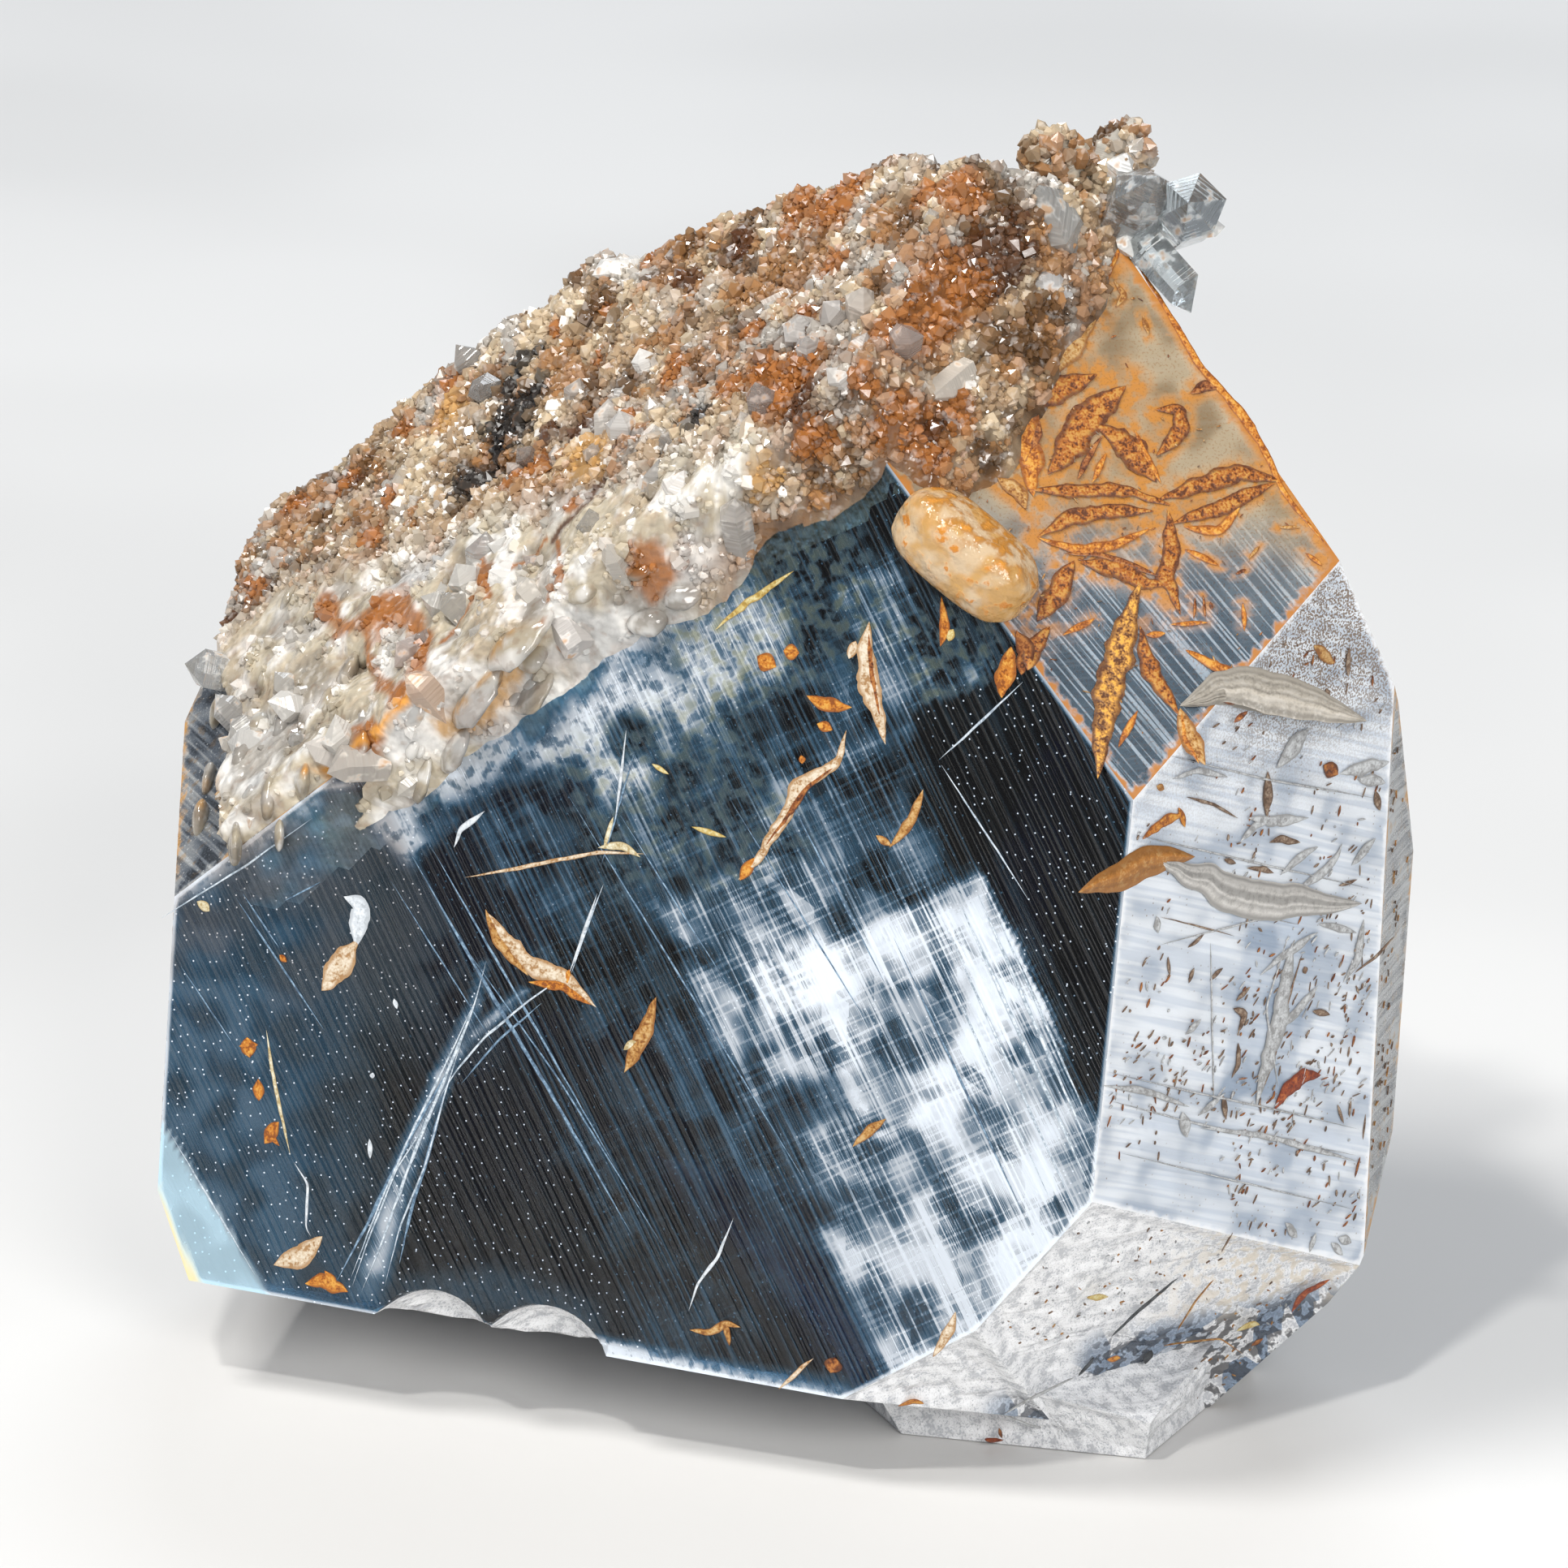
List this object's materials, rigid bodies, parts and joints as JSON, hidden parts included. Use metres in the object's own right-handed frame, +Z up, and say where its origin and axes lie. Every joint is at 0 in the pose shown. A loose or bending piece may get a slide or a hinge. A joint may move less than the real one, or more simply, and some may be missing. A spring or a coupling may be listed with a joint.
{
  "type": "quartz crystal",
  "caption": "Clear skeletal quartz crystal with flat growth faces, a sugary iron-stained druse crust over one side and small crystals grown at its tip, standing on a flat base.",
  "frame": {"origin": "middle of the bounding box, at the height of the base that it stands on", "axes": "+Z up, +Y away from the side of the large clear front face, +X to the right of someone who looks at that face"},
  "size_m": [0.0616, 0.0446, 0.0626],
  "materials": {
    "clear_quartz": "clear with veils, striated and glossy, dark in depth, with iron-stained etch marks",
    "druse": "sugary glossy small crystals with brown iron stain",
    "iron_stain": "thin matte ochre to red-brown iron oxide film"
  },
  "bodies": {
    "root": {"quartz_crystal": "clear_quartz"}
  },
  "joints": []
}
